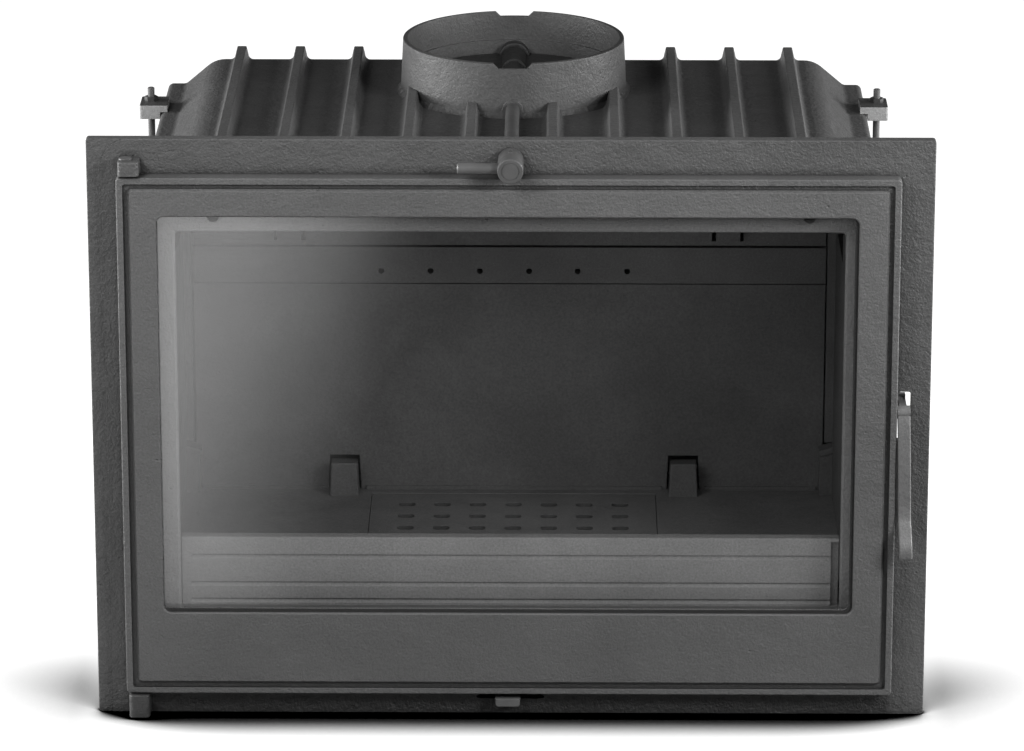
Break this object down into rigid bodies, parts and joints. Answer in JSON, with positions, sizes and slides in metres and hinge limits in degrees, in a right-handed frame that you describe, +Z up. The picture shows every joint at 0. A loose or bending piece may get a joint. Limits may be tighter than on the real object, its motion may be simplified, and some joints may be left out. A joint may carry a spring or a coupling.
{
  "type": "fireplace insert",
  "caption": "Cast-iron fireplace insert with a glazed side-hung door, lever latch, ribbed hood and a round flue collar with a butterfly damper.",
  "frame": {"origin": "middle of the underside, level with the front face of the front frame", "axes": "+X to the right seen from the front, +Y to the rear, +Z up"},
  "size_m": [0.69, 0.3928, 0.5181],
  "materials": {
    "cast_iron": "matte anthracite stove paint on sand-cast iron",
    "cast_iron_inner": "matte, as cast",
    "dark_steel": "matte anthracite",
    "steel": "dull",
    "zinc_steel": "zinc plated, dull",
    "sheet_steel": "matte black",
    "ceramic_glass": "clear ceramic glass",
    "glass_fibre": "black braided glass fibre"
  },
  "bodies": {
    "stove_body": {"air_slider_guides": "sheet_steel", "air_strip": "cast_iron_inner", "ash_pan": "sheet_steel", "back_wall": "cast_iron", "baffle_hooks": "cast_iron_inner", "baffle_plate": "cast_iron_inner", "base_tray": "cast_iron", "clamp_blocks": "zinc_steel", "fireback": "cast_iron_inner", "fireback_corner_lugs": "cast_iron_inner", "fireback_stops": "cast_iron_inner", "flue_collar": "cast_iron", "frame_bolts": "steel", "front_frame": "cast_iron", "guide_screws": "steel", "hearth_plate": "cast_iron_inner", "hinge_pins": "steel", "hood": "cast_iron", "left_side_liner": "cast_iron_inner", "left_side_wall": "cast_iron", "right_side_liner": "cast_iron_inner", "right_side_wall": "cast_iron", "tie_rod_nuts": "steel", "tie_rods": "steel", "upper_back_plate": "cast_iron_inner"},
    "door_body": {"door_casting": "cast_iron", "glass_pane": "ceramic_glass", "glass_gasket": "glass_fibre", "glass_clips": "steel", "glass_clip_screws": "steel", "door_rope_seal": "glass_fibre", "handle_pivot_pin": "steel"},
    "handle_body": {"door_handle": "dark_steel"},
    "damper_body": {"damper_knob": "dark_steel", "damper_cross_pin": "dark_steel", "damper_spindle": "steel", "damper_plate": "cast_iron", "knob_set_screws": "dark_steel", "damper_plate_screws": "steel"},
    "air_control_body": {"air_slider": "sheet_steel", "air_control_knob": "dark_steel"},
    "grate_body": {"grate": "cast_iron_inner"},
    "retainer_body": {"log_retainer": "cast_iron_inner"}
  },
  "joints": [
    {"name": "door_hinge", "type": "hinge", "parent": "stove_body", "child": "door_body", "pos_m": [-0.312, -0.0092, 0.245], "axis": [0, 0, -1], "range_deg": [0, 100]},
    {"name": "handle_pivot", "type": "hinge", "parent": "door_body", "child": "handle_body", "pos_m": [0.3226, -0.009, 0.2685], "axis": [-1, 0, 0], "range_deg": [0, 60]},
    {"name": "damper_turn", "type": "hinge", "parent": "stove_body", "child": "damper_body", "pos_m": [0, 0.005, 0.4795], "axis": [0, 1, 0], "range_deg": [0, 90]},
    {"name": "air_slide", "type": "slide", "parent": "stove_body", "child": "air_control_body", "axis": [1, 0, 0], "range_m": [-0.012, 0.012]},
    {"name": "grate_lift", "type": "slide", "parent": "stove_body", "child": "grate_body", "axis": [0, 0, 1], "range_m": [0, 0.06]},
    {"name": "retainer_lift", "type": "slide", "parent": "stove_body", "child": "retainer_body", "axis": [0, 0, 1], "range_m": [0, 0.07]}
  ]
}
